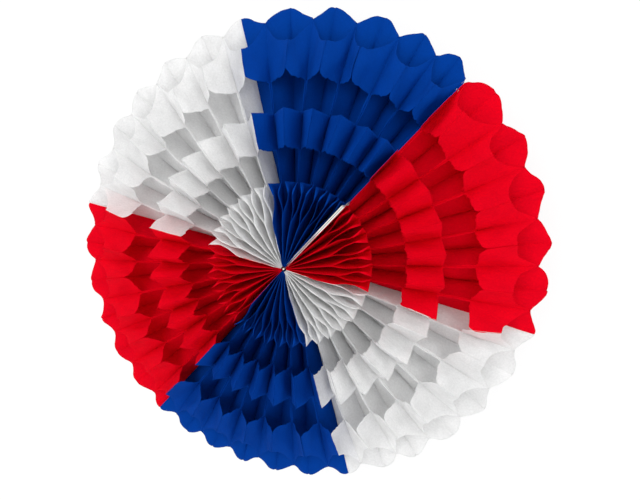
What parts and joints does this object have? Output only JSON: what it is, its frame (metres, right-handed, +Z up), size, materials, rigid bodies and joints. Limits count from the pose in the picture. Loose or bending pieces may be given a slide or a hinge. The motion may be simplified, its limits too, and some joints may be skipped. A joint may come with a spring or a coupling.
{
  "type": "paper fan rosette",
  "caption": "Round honeycomb tissue rosette with toothed leaves in red, white and blue sectors, opened flat between two cardboard covers and lying on its back.",
  "frame": {"origin": "on the rosette's axis, at the back of the disc where the teeth rest on the ground", "axes": "+Z up along the axis, out of the front of the rosette; the seam between the two covers runs from the hub towards +X +Y at 46 degrees"},
  "size_m": [0.4006, 0.4011, 0.104],
  "materials": {
    "blue_tissue": "matte, slightly translucent",
    "white_tissue": "matte, slightly translucent",
    "red_tissue": "matte, slightly translucent",
    "card": "matte",
    "adhesive": "satin",
    "thread": "matte"
  },
  "bodies": {
    "root": {"tissue_blue_top": "blue_tissue", "tissue_white_upper_left": "white_tissue", "tissue_red_left": "red_tissue", "tissue_blue_bottom": "blue_tissue", "tissue_white_lower_right": "white_tissue", "tissue_red_right": "red_tissue", "cover_card_blue_side": "card", "cover_card_red_side": "card", "seam_adhesive": "adhesive", "hub_thread": "thread"}
  },
  "joints": []
}
